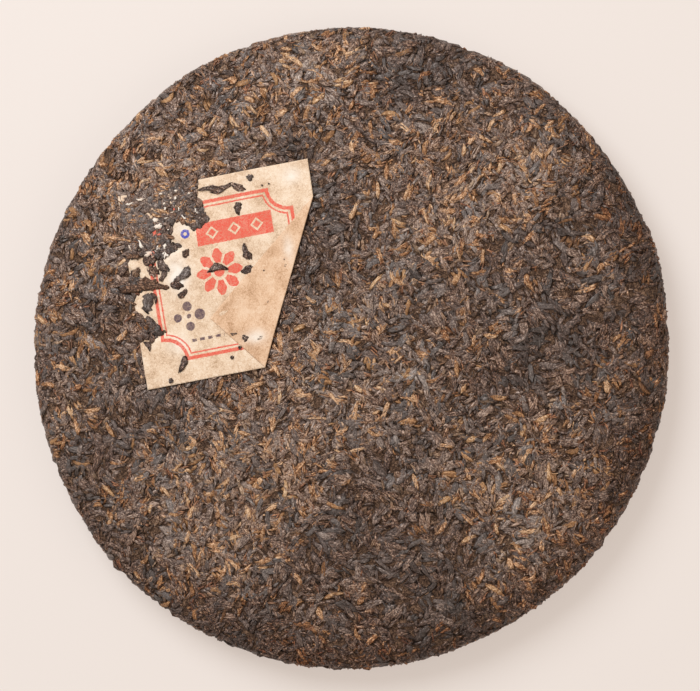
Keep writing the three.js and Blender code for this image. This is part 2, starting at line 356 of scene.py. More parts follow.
def place_sheet(points):
    """Folds the flat sheet's corner over and lays the sheet on the cake, dipping under the leaf."""
    fold_bend = 0.13 * MM
    lying_at = 0.2 * MM
    higher_at_fold = 0.3 * MM
    sunk_by = 0.42 * MM
    q = (points - fold_top) @ fold_out
    turned = np.clip(q / fold_bend, 0, math.pi)
    beyond = np.maximum(q - math.pi * fold_bend, 0)
    shift = np.where(q > 0, fold_bend * np.sin(turned) - beyond - q, 0)
    rise = fold_bend * (1 - np.cos(turned))
    folded = points + shift[:, None] * fold_out
    u, v = folded[:, 0], folded[:, 1]
    x, y = from_ticket(u, v)
    to_fold = -((folded - fold_top) @ fold_out)
    lift = lying_at + higher_at_fold * np.exp(-np.maximum(to_fold, 0) / (5 * MM))
    sunk = 0.2 * MM * smooth_noise(u / (1.6 * MM), v / (1.6 * MM), 0 * u, 33) - sunk_by
    bare = smooth_step(-0.9 * MM, 0.7 * MM, bare_by(u, v))
    lift = sunk + (lift - sunk) * bare + rise + creases(points[:, 0], points[:, 1])
    return on_cake(down_front(np.hypot(x, y)), np.arctan2(y, x), lift)


def give_values(mesh, called, values):
    """One number for each point of a mesh, for its material to read."""
    spread = mesh.attributes.new(called, "FLOAT", "POINT")
    spread.data.foreach_set("value", values.ravel().astype(np.float32))


def give_map(mesh, called, places, faces):
    """A flat map of a mesh, from the place of each of its points."""
    flat = mesh.uv_layers.new(name=called)
    flat.data.foreach_set("uv", places[faces.reshape(-1)].ravel().astype(np.float32))


# Pale spots on the paper, the first two of them painted highlights where it catches the light: millimetres
# across and up from the ticket's middle, then half their width and height.
pale_and_glare_spots = [(25.2, 26.4, 2.6, 2.6), (20.6, 4.4, 1.5, 3.2), (5.7, -21.0, 3.5, 2.0),
              (-12.1, 16.8, 2.5, 2.0), (-19.2, -18.8, 3.0, 2.5), (-16.0, 4.5, 3.0, 5.5),
              (-15.0, 2.0, 3.0, 4.0)]


def ticket_mesh():
    """Both faces of the sheet, a paper's thickness apart and joined round its edge."""
    thickness = 0.14 * MM
    points, faces, rim = flat_sheet()
    middle = place_sheet(points)
    a, b, c = (middle[faces[:, k]] for k in range(3))
    face_normals = np.cross(b - a, c - a)
    normals = np.zeros_like(middle)
    for k in range(3):
        np.add.at(normals, faces[:, k], face_normals)
    normals /= np.linalg.norm(normals, axis=1)[:, None]
    count = len(points)
    edges = {(face[k], face[(k + 1) % 3]) for face in faces.tolist() for k in range(3)}
    walls = []
    for a, b in rim:
        a, b = (a, b) if (a, b) in edges else (b, a)
        walls += [(b, a, a + count), (b, a + count, b + count)]
    mesh = bpy.data.meshes.new("paper_ticket_sheet")
    every = np.concatenate([faces, faces[:, ::-1] + count, np.array(walls)])
    above = middle + normals * thickness / 2
    below = middle - normals * thickness / 2
    mesh.from_pydata(np.concatenate([above, below]).tolist(), [], every.tolist())
    give_values(mesh, "printed", np.repeat([1.0, 0.0], count))
    u, v = to_ticket(middle[:, 0], middle[:, 1])
    # Pale spots, two of them painted highlights where the paper catches the light.
    worn_and_painted_light = sum(np.exp(-(((u - MM * a) / (MM * wide)) ** 2 + ((v - MM * b) / (MM * high)) ** 2))
               for a, b, wide, high in pale_and_glare_spots)
    give_values(mesh, "pale_wear_and_glare", np.tile(worn_and_painted_light, 2))
    give_map(mesh, "flat", np.concatenate([points, points]) / MM, every)
    half_map = (points / ticket_side + 0.5) * (0.47, 0.94) + (0.015, 0.03)
    give_map(mesh, "OFBake", np.concatenate([half_map, half_map + (0.5, 0)]), every)
    mesh.shade_smooth()
    return mesh


def blend_colour(nodes, links, share, first, second, kind="MIX"):
    """A mix of two colours that are given or come from other nodes."""
    mix = nodes.new("ShaderNodeMix")
    mix.data_type = "RGBA"
    mix.blend_type = kind
    sockets = mix.inputs[0], mix.inputs[6], mix.inputs[7]
    for socket, value in zip(sockets, (share, first, second)):
        if isinstance(value, (int, float)):
            socket.default_value = value
        elif isinstance(value, tuple):
            socket.default_value = (*value, 1)
        else:
            links.new(value, socket)
    return mix.outputs[2]


def own_value(nodes, called):
    """The number that each point of a mesh holds under a name."""
    attribute = nodes.new("ShaderNodeAttribute")
    attribute.attribute_name = called
    return attribute.outputs["Fac"]


def paper_material():
    """Mottled cream paper. Its print is a double red rule round the sheet with hollowed corners, a red
    bar with open lozenges, an eight-petalled rosette, a small blue ring, and grey-violet dots and
    dashes. Its sizes are millimetres, and its places are across and up from the ticket's middle."""
    material, nodes, links, shader = new_material("printed rice paper", 0.85, 0.2)

    def sum_up(operation, *values):
        return reckon(nodes, links, operation, *values)

    def under(value, limit):
        """1 where a value is under a limit and 0 where it is over, with the soft edge of ink."""
        edge = 0.09
        ramp = nodes.new("ShaderNodeMapRange")
        ramp.interpolation_type = "SMOOTHSTEP"
        ramp.inputs["From Min"].default_value = limit - edge
        ramp.inputs["From Max"].default_value = limit + edge
        ramp.inputs["To Min"].default_value = 1
        ramp.inputs["To Max"].default_value = 0
        links.new(value, ramp.inputs["Value"])
        return ramp.outputs["Result"]

    def off(value, middle):
        """How far a value is from a middle, either way."""
        return sum_up("ABSOLUTE", sum_up("SUBTRACT", value, middle))

    def slant(across, up):
        """The straight distance that two distances at right angles make."""
        return sum_up("SQRT", sum_up("ADD", sum_up("MULTIPLY", across, across), sum_up("MULTIPLY", up, up)))

    flat = nodes.new("ShaderNodeUVMap")
    flat.uv_map = "flat"
    spread = nodes.new("ShaderNodeSeparateXYZ")
    links.new(flat.outputs["UV"], spread.inputs["Vector"])
    bleed = noise(nodes, links, flat.outputs["UV"], 1.3, 3)
    wobble = sum_up("MULTIPLY_ADD", bleed, 0.5, -0.25)
    u = sum_up("ADD", spread.outputs["X"], wobble)
    v = sum_up("ADD", spread.outputs["Y"], wobble)

    rule_half, corner = 23.5, 7.0
    wide_half, fine_half, fine_inset = 0.55, 0.25, 1.5
    past_u = sum_up("SUBTRACT", sum_up("ABSOLUTE", u), rule_half)
    past_v = sum_up("SUBTRACT", sum_up("ABSOLUTE", v), rule_half)
    frame_edge = sum_up("MAXIMUM", sum_up("MAXIMUM", past_u, past_v),
                        sum_up("SUBTRACT", corner, slant(past_u, past_v)))
    wide_rule = under(sum_up("ABSOLUTE", frame_edge), wide_half)
    fine_rule = under(off(frame_edge, -fine_inset), fine_half)

    bar_u, bar_v, bar_half_length, bar_half_width = 4.7, 13.6, 12.2, 3.5
    pitch, lozenge_half, lozenge_line = 7.2, 1.7, 0.4
    off_u = sum_up("SUBTRACT", u, bar_u)
    off_v = off(v, bar_v)
    bar = under(sum_up("MAXIMUM", sum_up("SUBTRACT", sum_up("ABSOLUTE", off_u), bar_half_length),
                       sum_up("SUBTRACT", off_v, bar_half_width)), 0.0)
    repeat = sum_up("SUBTRACT", sum_up("MODULO", sum_up("ADD", off_u, pitch * 5.5), pitch), pitch / 2)
    lozenge = sum_up("ADD", sum_up("ABSOLUTE", repeat), off_v)
    opening = under(off(lozenge, lozenge_half), lozenge_line)
    bar = sum_up("MULTIPLY", bar, sum_up("SUBTRACT", 1.0, opening))

    rose_u, rose_v, rose_radius, petal_count = -2.0, 1.2, 7.4, 8.0
    eye_radius, eye_line, spoke_width, spoke_start = 2.2, 0.55, 1.1, 2.6
    du, dv = sum_up("SUBTRACT", u, rose_u), sum_up("SUBTRACT", v, rose_v)
    out = slant(du, dv)
    swing = sum_up("COSINE", sum_up("MULTIPLY", sum_up("ARCTAN2", dv, du), petal_count))
    petal_edge = sum_up("MULTIPLY_ADD", swing, 0.14 * rose_radius, 0.86 * rose_radius)
    petals = under(sum_up("SUBTRACT", out, petal_edge), 0.0)
    eye = under(off(out, eye_radius), eye_line)
    spokes = under(sum_up("MULTIPLY", sum_up("ADD", swing, 1.0), out), spoke_width)
    spokes = sum_up("MULTIPLY", spokes, sum_up("SUBTRACT", 1.0, under(out, spoke_start)))
    rosette = sum_up("MULTIPLY", petals, sum_up("SUBTRACT", 1.0, sum_up("MAXIMUM", eye, spokes)))
    red = sum_up("MAXIMUM", sum_up("MAXIMUM", wide_rule, fine_rule), sum_up("MAXIMUM", bar, rosette))

    dots = 0.0
    for dot_u, dot_v, size in ((-14, -7.5, 1.5), (-17.6, -10.6, 1.3), (-10.4, -10.6, 1.7),
                               (-14, -13.8, 1.4), (-14, -10.6, 0.7)):
        gap = slant(sum_up("SUBTRACT", u, dot_u), sum_up("SUBTRACT", v, dot_v))
        dots = sum_up("MAXIMUM", dots, under(gap, size))
    dash_u, dash_v, row_half = -9.5, -18.3, 5.8
    dash_pitch, dash_half_length, dash_half_width = 2.6, 0.75, 0.45
    along = sum_up("SUBTRACT", sum_up("MODULO", sum_up("ADD", u, 72.0), dash_pitch), dash_pitch / 2)
    dash_row = sum_up("MAXIMUM", sum_up("SUBTRACT", sum_up("ABSOLUTE", along), dash_half_length),
                      sum_up("SUBTRACT", off(v, dash_v), dash_half_width))
    dashes = under(sum_up("MAXIMUM", dash_row, sum_up("SUBTRACT", off(u, dash_u), row_half)), 0.0)
    violet = sum_up("MAXIMUM", dots, dashes)

    ring_u, ring_v, ring_radius, ring_line = -11.0, 14.8, 1.0, 0.45
    gap = slant(sum_up("SUBTRACT", u, ring_u), sum_up("SUBTRACT", v, ring_v))
    blue = under(off(gap, ring_radius), ring_line)

    mottle = noise(nodes, links, flat.outputs["UV"], 0.16, 6)
    fibre = noise(nodes, links, flat.outputs["UV"], 1.4, 5, 1.5)
    cream = colour_ramp(nodes, [(0.25, (0.50, 0.33, 0.205)), (0.5, (0.81, 0.62, 0.455)),
                                (0.7, (0.93, 0.79, 0.64))])
    stain = sum_up("MULTIPLY_ADD", fibre, 0.8, sum_up("MULTIPLY_ADD", mottle, 0.8, -0.28))
    links.new(stain, cream.inputs["Fac"])
    printed_side = own_value(nodes, "printed")
    aged = blend_colour(nodes, links, printed_side, (0.95, 0.84, 0.76), (1.0, 1.0, 1.0))
    inked = blend_colour(nodes, links, 1.0, cream.outputs["Color"], aged, "MULTIPLY")
    # Paler paper: the torn scraps, and spots on the sheet, two of which are painted highlights where it
    # catches the light.
    pale = sum_up("MULTIPLY", own_value(nodes, "pale_wear_and_glare"), sum_up("MULTIPLY_ADD", mottle, 2.0, -0.3))
    inked = blend_colour(nodes, links, pale, inked, (0.96, 0.90, 0.82))
    worn_and_painted_light = sum_up("MULTIPLY_ADD", fibre, 1.6, 0.08)
    for ink, colour in ((red, (0.80, 0.125, 0.085)), (violet, (0.13, 0.085, 0.105)),
                        (blue, (0.06, 0.08, 0.50))):
        share = sum_up("MULTIPLY", sum_up("MULTIPLY", ink, printed_side), worn_and_painted_light)
        inked = blend_colour(nodes, links, share, inked, colour)
    links.new(inked, shader.inputs["Base Color"])
    emboss(nodes, links, shader, fibre, 0.7, 0.15 * MM)
    return material


ticket = put_in_scene("paper_ticket_sheet", ticket_mesh())
rice_paper = paper_material()
ticket.data.materials.append(rice_paper)
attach(ticket, "root")
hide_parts("paper_ticket")

# The dark leaf
# Most of the cake is fermented leaf, nearly black with a slate sheen. It lies every way round, pressed
# until the tops are flush. The larger leaves are crumpled blades, the finest are slim twisted slivers.


def sliver_bodies(draw, count, rings, length, width, thickness, bend, twist):
    """Slivers about their own middles: (count, points, 3) of along, across and up, and each point's
    share of the length and of the width. Tips are the first and last point."""
    share = np.linspace(0, 1, rings + 2)[None, 1:-1] + draw.uniform(-0.05, 0.05, (count, rings))
    full = np.sin(math.pi * np.clip(share, 0.02, 0.98)) ** 0.4 * draw.uniform(0.6, 1.15, (count, rings))
    half = full * width[:, None] / 2
    high = thickness[:, None] * full * draw.uniform(0.8, 1.15, (count, rings))
    corners_across = np.array([-1, -0.6, 0.64, 1.0])
    corners_up = np.array([0.1, 1.0, 0.85, 0.0])
    ridge = draw.uniform(-0.3, 0.3, (count, 1, 1))
    inner = np.array([0, 1, 1, 0])
    across = half[:, :, None] * (corners_across + ridge * inner)
    up = high[:, :, None] * (corners_up + draw.uniform(-0.12, 0.12, (count, rings, 4)))
    roll = draw.normal(0, 1, (count, 1)) * 0.12 + twist[:, None] * (share - 0.5)
    cos_roll, sin_roll = np.cos(roll)[:, :, None], np.sin(roll)[:, :, None]
    across, up = across * cos_roll - up * sin_roll, across * sin_roll + up * cos_roll
    curl = 4 * bend[:, None] * length[:, None] * (0.25 - (share - 0.5) ** 2)
    snake = draw.normal(0, 0.035, (count, 1)) * length[:, None] * np.sin(2 * math.pi * share)
    across = across + (curl + snake)[:, :, None]
    along = np.repeat(((share - 0.5) * length[:, None])[:, :, None], 4, 2)
    body = np.stack([along, across, up], -1).reshape(count, rings * 4, 3)
    tips = np.zeros((count, 2, 3))
    tips[:, 0, 0], tips[:, 1, 0] = -length / 2, length / 2
    tips[:, :, 1] = draw.normal(0, 0.2, (count, 2)) * width[:, None]
    points = np.concatenate([tips[:, :1], body, tips[:, 1:]], 1)
    points[:, :, 2] -= thickness[:, None]
    share_along = np.concatenate([np.zeros((count, 1)), np.repeat(share, 4, 1), np.ones((count, 1))], 1)
    side = np.tile(np.array([0.0, 0.3, 0.7, 1.0]), rings)
    share_across = np.broadcast_to(np.concatenate([[0.5], side, [0.5]]), share_along.shape)
    return points, share_along, share_across


def sliver_faces(rings):
    """The triangles of one sliver, with its faces pointing out."""
    faces = []
    for k in range(4):
        after = (k + 1) % 4
        faces.append((0, 1 + k, 1 + after))
        for ring in range(rings - 1):
            a, b = 1 + 4 * ring + k, 1 + 4 * ring + after
            faces += [(a, b + 4, b), (a, a + 4, b + 4)]
        last = 1 + 4 * (rings - 1)
        faces.append((last + after, last + k, last + 4))
    return np.array(faces)


def blade_bodies(draw, count, columns, rows, length, width, thickness, bend, crumple, ragged=1.0):
    """Crumpled blades: a grid whose rim lies low and whose inside stands up in lengthwise ridges.
    crumple is the height of the ridges, and ragged is how torn the outline is, 1 for whole leaf."""
    uneven = draw.uniform(-0.07, 0.07, (count, rows, columns)) * ragged ** 0.5
    share = np.linspace(0, 1, rows)[None, :, None] + uneven
    place = np.linspace(-1, 1, columns)
    place = np.sign(place) * np.abs(place) ** 0.8
    full = 0.3 + 0.7 * np.sin(math.pi * np.linspace(0, 1, rows)) ** 0.5
    full = full * (0.92 + ragged * draw.uniform(-0.22, 0.22, (count, rows)))
    strayed = place + draw.uniform(-0.11, 0.11, (count, rows, columns))
    across = full[:, :, None] * strayed * width[:, None, None] / 2
    first_way = np.where(draw.uniform(0, 1, (count, 1, 1)) < 0.5, 1, -1)
    ridges = 0.6 * (np.where(np.arange(columns) % 2 == 0, 1, -1) * first_way)
    ridges = ridges * draw.uniform(0.3, 1.2, (count, 1, columns))
    up = crumple * (ridges + draw.normal(0, 0.55, (count, rows, columns)))
    rim = np.ones((rows, columns), bool)
    rim[1:-1, 1:-1] = False
    up = np.where(rim, -thickness[:, None, None] * draw.uniform(0.7, 1.1, (count, rows, columns)), up)
    curl = 4 * bend[:, None, None] * length[:, None, None] * (0.25 - (share - 0.5) ** 2)
    along = (share - 0.5) * length[:, None, None]
    points = np.stack([along, across + curl, up], -1).reshape(count, rows * columns, 3)
    share_across = np.broadcast_to((place + 1) / 2, (count, rows, columns))
    return points, share.reshape(count, -1), share_across.reshape(count, -1)


def blade_faces(columns, rows):
    """The triangles of one blade: its top grid, and a flat underside across its rim. A corner where
    both would have the same triangle keeps only the top one."""
    faces = []
    for row in range(rows - 1):
        for column in range(columns - 1):
            a, b = row * columns + column, (row + 1) * columns + column
            if (row + column) % 2:
                faces += [(a, b, b + 1), (a, b + 1, a + 1)]
            else:
                faces += [(a, b, a + 1), (b, b + 1, a + 1)]
    rim = [k for k in range(columns)] + [row * columns + columns - 1 for row in range(1, rows)]
    rim += [(rows - 1) * columns + k for k in range(columns - 2, -1, -1)]
    rim += [row * columns for row in range(rows - 2, 0, -1)]
    low, high = 1, len(rim) - 1
    under = [(rim[0], rim[low], rim[high])]
    while high - low > 1:
        under.append((rim[low], rim[low + 1], rim[high]))
        low += 1
        if high - low > 1:
            under.append((rim[low], rim[high - 1], rim[high]))
            high -= 1
    on_top = {frozenset(face) for face in faces}
    return np.array(faces + [face for face in under if frozenset(face) not in on_top])


def press_onto_cake(points, spot, angle, turn, depth, tilt, pitch, flush, over):
    """Turns each leaf, tilts it, sinks its top to its depth, presses it flush and wraps it on the
    cake. spot is the distance along the section, angle the way round, and over says which leaves lie
    over the ticket and not under it."""
    along, across, up = points[..., 0], points[..., 1], points[..., 2]
    pressed_by = 0.88
    soft_within = 0.12
    below_paper = 0.12 * MM
    top = along * pitch[:, None] + across * tilt[:, None] + depth[:, None]
    past_flush = np.logaddexp(0, (top - flush[:, None]) / (soft_within * MM))
    top = top - pressed_by * soft_within * MM * past_flush
    up = top + up
    cos_turn, sin_turn = np.cos(turn)[:, None], np.sin(turn)[:, None]
    a = along * cos_turn - across * sin_turn
    b = along * sin_turn + across * cos_turn
    front = (spot < rim_distance)[:, None]
    from_pole = np.where(front[:, 0], spot, section_length - spot)[:, None]
    out = from_pole + a
    polar = np.hypot(out, b)
    swing = np.arctan2(b, out)
    distance = np.where(front, polar, section_length - polar)
    way = angle[:, None] + np.where(front, swing, -swing)
    reach = np.interp(distance, section[0], section[1])
    u, v = to_ticket(reach * np.cos(way), reach * np.sin(way))
    under_paper = front & (inside_by(sheet_outline, u, v) > -0.1 * MM) & ~over[:, None]
    up = np.where(under_paper, np.minimum(up, -below_paper), up)
    return on_cake(distance, way, up)


def join_leaves(name, material, placed, share_along, share_across, tone, warmth, one, length, width):
    """One mesh of all leaves of a kind, from the triangles of one, with each one's tone, its warmth of
    colour and a map in millimetres of its skin. The rims lie sunk and pressed, and are painted darker as
    painted shade for the gaps between leaves; the middles are a little lighter to make up for it."""
    count, each = placed.shape[:2]
    faces = (np.arange(count)[:, None, None] * each + one).reshape(-1, 3)
    mesh = bpy.data.meshes.new(name)
    mesh.vertices.add(count * each)
    mesh.vertices.foreach_set("co", placed.reshape(-1).astype(np.float32))
    mesh.loops.add(faces.size)
    mesh.loops.foreach_set("vertex_index", faces.reshape(-1).astype(np.int32))
    mesh.polygons.add(len(faces))
    mesh.polygons.foreach_set("loop_start", np.arange(0, faces.size, 3, dtype=np.int32))
    mesh.polygons.foreach_set("loop_total", np.full(len(faces), 3, np.int32))
    # Painted shade: the tone falls towards each leaf's sides and tips, where the gaps between leaves lie.
    from_side = np.minimum(share_across, 1 - share_across) / 0.2
    from_tip = np.minimum(share_along, 1 - share_along) / 0.15
    rim_shade = 0.24 * (1 - np.clip(np.minimum(from_side, from_tip), 0, 1)) - 0.075
    give_values(mesh, "tone", tone[:, None] - rim_shade)
    give_values(mesh, "warmth", np.repeat(warmth, each))
    skin = np.stack([share_along * length[:, None], share_across * width[:, None]], -1) / MM
    skin = skin + np.random.default_rng(9).uniform(0, 900, (count, 1, 2))
    give_map(mesh, "skin", skin.reshape(-1, 2), faces)
    side = math.ceil(math.sqrt(count))
    cell = np.stack([np.arange(count) % side, np.arange(count) // side], -1)[:, None, :]
    inside = np.stack([share_along, share_across], -1) * 0.84 + 0.08
    give_map(mesh, "OFBake", ((cell + inside) / side).reshape(-1, 2), faces)
    mesh.update()
    mesh.validate()
    mesh.shade_smooth()
    mesh.materials.append(material)
    piece = put_in_scene(name, mesh)
    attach(piece, "root")


def scatter(draw, count, start, end, strips, pitch):
    """Spots spread evenly over the section from one distance to another: a golden spiral whose turns
    keep their share of the surface. Each spot holds up to so many strips, side by side at a pitch.
    Returns each strip's distance along the section, its angle round it, its turn and its spot."""
    low, high = np.interp([start, end], section[0], surface_swept)
    share = low + (high - low) * (np.arange(count) + draw.uniform(0, 1, count)) / count
    spot = np.interp(share, surface_swept, section[0])
    angle = np.arange(count) * math.pi * (3 - math.sqrt(5)) + draw.uniform(-0.05, 0.05, count)
    each = draw.integers((strips + 1) // 2, strips + 1, count)
    which = np.repeat(np.arange(count), each)
    row = np.arange(len(which)) - np.repeat(np.cumsum(each) - each, each) - (each[which] - 1) / 2
    across = row * pitch + draw.normal(0, 0.3, len(which)) * pitch
    along = draw.normal(0, 1.3, len(which)) * pitch * (each[which] > 1)
    heading = draw.uniform(0, 2 * math.pi, count)[which]
    front = spot[which] < rim_distance
    from_pole = np.where(front, spot[which], section_length - spot[which])
    way = np.where(front, angle[which], -angle[which])
    a = from_pole * np.cos(way) + along * np.cos(heading) - across * np.sin(heading)
    b = from_pole * np.sin(way) + along * np.sin(heading) + across * np.cos(heading)
    way = np.arctan2(b, a)
    turn = heading + draw.normal(0, 0.22, len(which)) * (each[which] > 1) - way
    spot = np.where(front, np.hypot(a, b), section_length - np.hypot(a, b))
    return spot, np.where(front, way, -way), turn, which


def crumbled_and_shaded(spot, angle):
    """How far the edge has crumbled, 0 to 1, on the rim's right and lower sides, which get painted shade."""
    worst_way = math.radians(-40)
    from_either_side = np.minimum(spot, 2 * rim_distance - spot)
    near_rim = smooth_step(rim_distance - 22 * MM, rim_distance - 4 * MM, from_either_side)
    return near_rim * smooth_step(-0.35, 0.6, np.cos(angle - worst_way))


def lay_leaf(name, material, seed, count, shape, length, width, thickness, depth, start=0.0,
             end=section_length, strips=1, bend=0.07, flush=0.15, patchy=0.0, lighter=0.0,
             only_over=False):
    """Makes and presses one kind of leaf over a stretch of the section, leaving the ticket bare. shape
    is the rings of a sliver, or the columns and rows of a blade. Length, width, thickness and depth are
    the least and the most, and they and flush, the height of the pressed tops, are in millimetres.
    strips is how many lie side by side at most. A patchy kind lies thick in some places and thin in
    others, and only_over leaves just what lies over the ticket."""
    draw = np.random.default_rng(seed)
    pitch = 0.75 * sum(width) / 2 * MM
    spot, angle, turn, which = scatter(draw, count, start, end, strips, pitch)
    group_tone = draw.uniform(0.22, 0.66, count)[which]
    group_warmth = draw.normal(0, 0.28, count)[which]
    group_kept = draw.uniform(0, 1, count)[which]
    place = np.moveaxis(on_cake(spot, angle, 0), -1, 0)
    clump = smooth_noise(*(place / (8 * MM)), 71)
    u, v = to_ticket(place[0], place[1])
    over = (spot < rim_distance) & (inside_by(sheet_outline, u, v) > 0)
    warmth = 0.46 + 0.18 * smooth_noise(*(place / (4 * MM)), 72) + group_warmth
    warmth = np.clip(warmth + 0.3 * crumbled_and_shaded(spot, angle) - 0.15 * over, 0, 1)
    bare = bare_by(u, v)
    long = draw.uniform(*length, len(spot)) * MM
    on_bare_paper = over & (bare > -0.2 * long)
    thick_here = group_kept < 1 - patchy * (0.5 - clump)
    kept = ~on_bare_paper & thick_here & (over | (not only_over))
    spot, angle, turn, over, bare, long, clump, warmth, group_tone = (
        value[kept] for value in (spot, angle, turn, over, bare, long, clump, warmth, group_tone))
    count = len(spot)
    heaped = np.where(over, smooth_step(-4 * MM, -0.5 * MM, bare), 0) * 0.3 * MM
    worn_and_painted_light = crumbled_and_shaded(spot, angle)
    wide = draw.uniform(*width, count) * MM
    thick = draw.uniform(*thickness, count) * MM
    curl = draw.normal(0, bend, count)
    if isinstance(shape, tuple):
        crumple = (0.27 * MM * (0.6 + 0.8 * warmth))[:, None, None]
        bodies = blade_bodies(draw, count, *shape, long, wide, thick, curl, crumple)
        one = blade_faces(*shape)
    else:
        bodies = sliver_bodies(draw, count, shape, long, wide, thick, curl, draw.normal(0, 0.5, count))
        one = sliver_faces(shape)
    placed = press_onto_cake(
        bodies[0], spot, angle, turn, draw.uniform(*depth, count) * MM + heaped,
        draw.normal(0, 1, count) * (0.1 + 0.3 * worn_and_painted_light), draw.normal(0, 1, count) * (0.045 + 0.08 * worn_and_painted_light),
        flush * MM + heaped, over)
    # Leaf over the ticket is darker. The rim's crumbled right and lower sides are painted darker: painted
    # shade.
    tone = (group_tone + draw.normal(0, 0.08, count)) * np.where(over, 0.7, 1) - 0.47 * worn_and_painted_light
    tone += 0.16 * clump + 0.2 * (warmth - 0.5) + lighter
    near_rim = smooth_step(rim_distance - 14 * MM, rim_distance - 5 * MM, spot)
    tone += (0.36 - tone) * 0.4 * near_rim
    tone += 0.06 * (1 - smooth_step(20 * MM, 80 * MM, spot)) * ~over
    join_leaves(name, material, placed, bodies[1], bodies[2], np.clip(tone, 0, 1), warmth, one, long, wide)


def leaf_material(name, cool, warm, roughness, specular, wrinkle, mottle):
    """Leaf skin: each leaf has its own tone between a cool and a warm colour. It is mottled in blotches
    and specks and streaked by sharp lengthwise wrinkles, whose valleys are also painted darker as painted
    shade, all of them stronger on warmer leaf."""
    material, nodes, links, shader = new_material(name, roughness, specular)
    warmth = own_value(nodes, "warmth")
    skin = nodes.new("ShaderNodeUVMap")
    skin.uv_map = "skin"
    stretch = nodes.new("ShaderNodeMapping")
    stretch.inputs["Scale"].default_value = (0.65, 1.75, 1)
    links.new(skin.outputs["UV"], stretch.inputs["Vector"])
    blotch = noise(nodes, links, skin.outputs["UV"], 1.6, 4)
    crease = sharp_creases(nodes, links, noise(nodes, links, stretch.outputs["Vector"], 1.0, 3, 1.2))
    speck = noise(nodes, links, skin.outputs["UV"], 3.4, 2)
    # Painted shade: the wrinkles' narrow valleys darken the colour.
    pattern = reckon(nodes, links, "MULTIPLY_ADD", blotch, 2.0, -2.32)
    pattern = reckon(nodes, links, "MULTIPLY_ADD", crease, 3.0, pattern)
    pattern = reckon(nodes, links, "MULTIPLY_ADD", speck, 1.2, pattern)
    strength = reckon(nodes, links, "MULTIPLY_ADD", warmth, 0.8 * mottle, 0.55 * mottle)
    shade = reckon(nodes, links, "MULTIPLY_ADD", pattern, strength, own_value(nodes, "tone"))
    relief = reckon(nodes, links, "MULTIPLY", crease, strength)
    ramps = [colour_ramp(nodes, stops) for stops in (cool, warm)]
    for ramp in ramps:
        links.new(shade, ramp.inputs["Fac"])
    skin_colour = blend_colour(nodes, links, warmth, ramps[0].outputs["Color"], ramps[1].outputs["Color"])
    links.new(skin_colour, shader.inputs["Base Color"])
    emboss(nodes, links, shader, relief, wrinkle, 0.5 * MM)
    return material


slate = leaf_material(
    "slate-black fermented leaf",
    [(0.0, (0.027, 0.014, 0.009)), (0.35, (0.090, 0.070, 0.064)), (0.7, (0.195, 0.158, 0.146)),
     (1.0, (0.46, 0.39, 0.35))],
    [(0.0, (0.040, 0.013, 0.006)), (0.35, (0.165, 0.080, 0.050)), (0.7, (0.30, 0.160, 0.100)),
     (1.0, (0.55, 0.37, 0.27))], 0.38, 0.75, 1.0, 0.95)
front_end = rim_distance - 4 * MM
lay_leaf("broad_dark_leaf_front", slate, 12, 1380, (6, 5), (3.6, 8.0), (1.5, 2.9), (0.3, 0.5), (-0.2, 0.2),
         end=front_end, strips=3)
lay_leaf("dark_leaf_front", slate, 11, 2250, (5, 4), (2.2, 5.0), (0.9, 1.7), (0.3, 0.5), (-0.18, 0.24),
         end=front_end, strips=3)
lay_leaf("fine_dark_leaf_front", slate, 14, 4500, 2, (0.9, 2.8), (0.35, 0.8), (0.25, 0.45), (-0.25, 0.12),
         end=front_end)
lay_leaf("dark_leaf_over_ticket", slate, 15, 20000, (5, 4), (2.4, 5.6), (1.3, 2.7), (0.4, 0.65), (-0.1, 0.4),
         end=front_end, only_over=True)
lay_leaf("dark_leaf_back", slate, 13, 2600, (4, 4), (3.6, 8.0), (1.5, 2.9), (0.3, 0.5), (-0.2, 0.15),
         start=front_end, strips=3, flush=0.08)

# The brown leaf
# Older, coarser leaf that fermented less, from umber to chestnut. It is mixed in everywhere, a little
# thicker in some places, and pressed flush with the dark leaf.
brown = leaf_material(
    "brown leaf",
    [(0.0, (0.046, 0.025, 0.015)), (0.4, (0.175, 0.108, 0.068)), (0.75, (0.32, 0.210, 0.135)),
     (1.0, (0.62, 0.46, 0.33))],
    [(0.0, (0.056, 0.022, 0.011)), (0.4, (0.225, 0.108, 0.062)), (0.75, (0.40, 0.210, 0.122)),
     (1.0, (0.70, 0.45, 0.30))], 0.46, 0.5, 1.0, 0.9)
lay_leaf("brown_leaf_front", brown, 21, 1250, (5, 4), (2.2, 5.0), (0.9, 1.7), (0.3, 0.5), (-0.1, 0.22),
         end=front_end, strips=3, patchy=0.5)
lay_leaf("fine_brown_leaf_front", brown, 23, 2800, 2, (0.9, 2.8), (0.35, 0.8), (0.25, 0.45), (-0.15, 0.15),
         end=front_end, patchy=0.5)
lay_leaf("brown_leaf_back", brown, 22, 1500, (4, 4), (3.2, 6.6), (1.2, 2.4), (0.3, 0.5), (-0.2, 0.15),
         start=front_end, strips=2, flush=0.08, patchy=0.5)

# The russet stalk
# Slim bits of stalk and leaf vein of a warm red-brown, straight, thin and hard. They lie singly or
# two or three side by side, pressed in among the leaf.
russet = leaf_material(
    "russet stalk",
    [(0.0, (0.070, 0.028, 0.016)), (0.5, (0.27, 0.14, 0.080)), (1.0, (0.54, 0.34, 0.21))],
    [(0.0, (0.080, 0.024, 0.014)), (0.5, (0.30, 0.12, 0.062)), (1.0, (0.56, 0.27, 0.15))],
    0.55, 0.4, 0.9, 0.6)
lay_leaf("russet_stalk_front", russet, 31, 1100, 3, (2.0, 5.5), (0.4, 0.75), (0.35, 0.6), (0.0, 0.25),
         end=front_end, strips=3, bend=0.05, patchy=0.8)
lay_leaf("russet_stalk_back", russet, 32, 1000, 2, (2.2, 6.0), (0.5, 0.9), (0.4, 0.7), (-0.1, 0.3),
         start=front_end, bend=0.05, flush=0.08)

